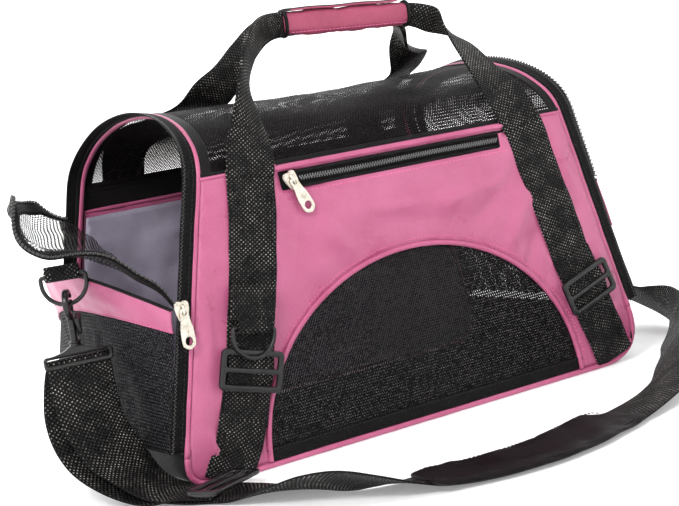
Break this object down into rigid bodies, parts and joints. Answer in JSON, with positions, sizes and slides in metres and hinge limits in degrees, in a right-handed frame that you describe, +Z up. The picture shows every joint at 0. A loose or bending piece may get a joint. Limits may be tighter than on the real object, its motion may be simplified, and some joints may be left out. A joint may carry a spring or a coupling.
{
  "type": "pet carrier bag",
  "caption": "Soft-sided pet carrier bag with a mesh roof, arched mesh window, zipped mesh end doors, carry handles with a wrap grip and a clip-on shoulder strap.",
  "frame": {"origin": "middle of the flat base, on the surface the bag stands on", "axes": "+X along the bag towards the closed end door, -Y out of the front with the window and pocket, +Z up"},
  "size_m": [0.6123, 0.436, 0.3285],
  "materials": {
    "pink": "smooth coated polyester",
    "wrap": "soft padded polyester",
    "dark_pink": "piping cord in polyester",
    "lining": "thin lining cloth",
    "black_tape": "woven tape and zip tape",
    "webbing": "coarse woven webbing",
    "netting": "see-through knitted netting",
    "board": "plain stiffening board",
    "black_plastic": "moulded, slight sheen",
    "nickel": "worn nickel plating",
    "satin": "padded satin cloth"
  },
  "bodies": {
    "shell": {"front_panel": "pink", "rear_panel": "pink", "left_band": "pink", "right_band": "pink", "front_bottom_piping": "dark_pink", "front_top_piping": "dark_pink", "rear_bottom_piping": "dark_pink", "left_end_piping": "dark_pink", "right_end_piping": "dark_pink", "front_lining": "lining", "rear_lining": "lining", "base_panel": "black_tape", "pocket_zip_tape": "black_tape", "front_window_binding": "black_tape", "rear_top_band": "black_tape", "left_zip_tape": "black_tape", "right_zip_tape": "black_tape", "front_left_webbing": "webbing", "front_right_webbing": "webbing", "rear_left_webbing": "webbing", "rear_right_webbing": "webbing", "front_ring_loop": "webbing", "left_ring_loop": "webbing", "right_ring_loop": "webbing", "shoulder_strap": "webbing", "front_window_mesh": "netting", "roof_mesh": "netting", "left_lower_mesh": "netting", "right_lower_mesh": "netting", "base_board": "board", "front_left_triglide": "black_plastic", "front_right_triglide": "black_plastic", "left_ring": "black_plastic", "right_ring": "black_plastic", "left_hook": "black_plastic", "right_hook": "black_plastic", "left_hook_foot": "black_plastic", "right_hook_foot": "black_plastic", "strap_triglide": "black_plastic", "strap_pad": "satin"},
    "left_door": {"left_door_rim": "black_tape", "left_door_mesh": "netting"},
    "right_door": {"right_door_rim": "black_tape", "right_door_mesh": "netting"},
    "left_front_slider": {"left_front_slider": "nickel"},
    "left_front_pull": {"left_front_pull": "nickel"},
    "left_rear_slider": {"left_rear_slider": "nickel"},
    "left_rear_pull": {"left_rear_pull": "nickel"},
    "right_rear_slider": {"right_rear_slider": "nickel"},
    "right_rear_pull": {"right_rear_pull": "nickel"},
    "pocket_slider": {"pocket_slider": "nickel"},
    "pocket_pull": {"pocket_pull": "nickel"},
    "front_ring": {"front_ring": "black_plastic"},
    "front_handle": {"front_handle": "webbing", "grip_sleeve": "wrap"},
    "grip_flap": {"grip_flap": "black_tape"},
    "rear_handle": {"rear_handle": "webbing"},
    "left_hook_gate": {"left_hook_gate": "black_plastic"},
    "right_hook_gate": {"right_hook_gate": "black_plastic"}
  },
  "joints": [
    {"name": "left_door_hinge", "type": "hinge", "parent": "shell", "child": "left_door", "pos_m": [-0.1963, -0.1126, 0.1292], "axis": [0.0652, 0.9608, 0.2696], "range_deg": [0, 76]},
    {"name": "right_door_hinge", "type": "hinge", "parent": "shell", "child": "right_door", "pos_m": [0.1903, 0, 0.1555], "axis": [0, 1, 0], "range_deg": [0, 95]},
    {"name": "left_front_zip", "type": "slide", "parent": "shell", "child": "left_front_slider", "axis": [0.235, 0, 0.972], "range_m": [-0.085, 0]},
    {"name": "left_front_pull_hinge", "type": "hinge", "parent": "left_front_slider", "child": "left_front_pull", "pos_m": [-0.19464, -0.1182, 0.12877], "axis": [-1, 0, 0], "range_deg": [0, 150]},
    {"name": "left_rear_zip", "type": "slide", "parent": "shell", "child": "left_rear_slider", "axis": [0.235, 0, 0.972], "range_m": [-0.14, 0]},
    {"name": "left_rear_pull_hinge", "type": "hinge", "parent": "left_rear_slider", "child": "left_rear_pull", "pos_m": [-0.18054, 0.1182, 0.18709], "axis": [1, 0, 0], "range_deg": [0, 150]},
    {"name": "right_rear_zip", "type": "slide", "parent": "shell", "child": "right_rear_slider", "axis": [-0.235, 0, 0.972], "range_m": [-0.1, 0]},
    {"name": "right_rear_pull_hinge", "type": "hinge", "parent": "right_rear_slider", "child": "right_rear_pull", "pos_m": [0.18947, 0.1182, 0.15015], "axis": [1, 0, 0], "range_deg": [0, 150]},
    {"name": "pocket_zip", "type": "slide", "parent": "shell", "child": "pocket_slider", "axis": [1, 0, 0], "range_m": [0, 0.18]},
    {"name": "pocket_pull_hinge", "type": "hinge", "parent": "pocket_slider", "child": "pocket_pull", "pos_m": [-0.0928, -0.1174, 0.20283], "axis": [-0.9136, 0, -0.4067], "range_deg": [0, 150]},
    {"name": "front_ring_hinge", "type": "hinge", "parent": "shell", "child": "front_ring", "pos_m": [-0.146, -0.1233, 0.104], "axis": [-0.9781, 0, 0.2079], "range_deg": [0, 150]},
    {"name": "front_handle_fold", "type": "hinge", "parent": "shell", "child": "front_handle", "pos_m": [0, -0.1164, 0.2131], "axis": [1, 0, 0], "range_deg": [0, 150]},
    {"name": "rear_handle_fold", "type": "hinge", "parent": "shell", "child": "rear_handle", "pos_m": [0, 0.1164, 0.2131], "axis": [-1, 0, 0], "range_deg": [0, 165]},
    {"name": "grip_flap_hinge", "type": "hinge", "parent": "front_handle", "child": "grip_flap", "pos_m": [0.0175, -0.0537, 0.3248], "axis": [0.9993, 0, -0.0384], "range_deg": [0, 150]},
    {"name": "left_gate_hinge", "type": "hinge", "parent": "shell", "child": "left_hook_gate", "pos_m": [-0.2447, -0.0343, 0.1339], "axis": [0.866, -0.5, 0], "range_deg": [0, 15], "stiffness_Nm_per_rad": 0.01, "springref_deg": -5.73},
    {"name": "right_gate_hinge", "type": "hinge", "parent": "shell", "child": "right_hook_gate", "pos_m": [0.2167, 0, 0.1182], "axis": [0, 1, 0], "range_deg": [0, 15], "stiffness_Nm_per_rad": 0.01, "springref_deg": -5.73}
  ]
}
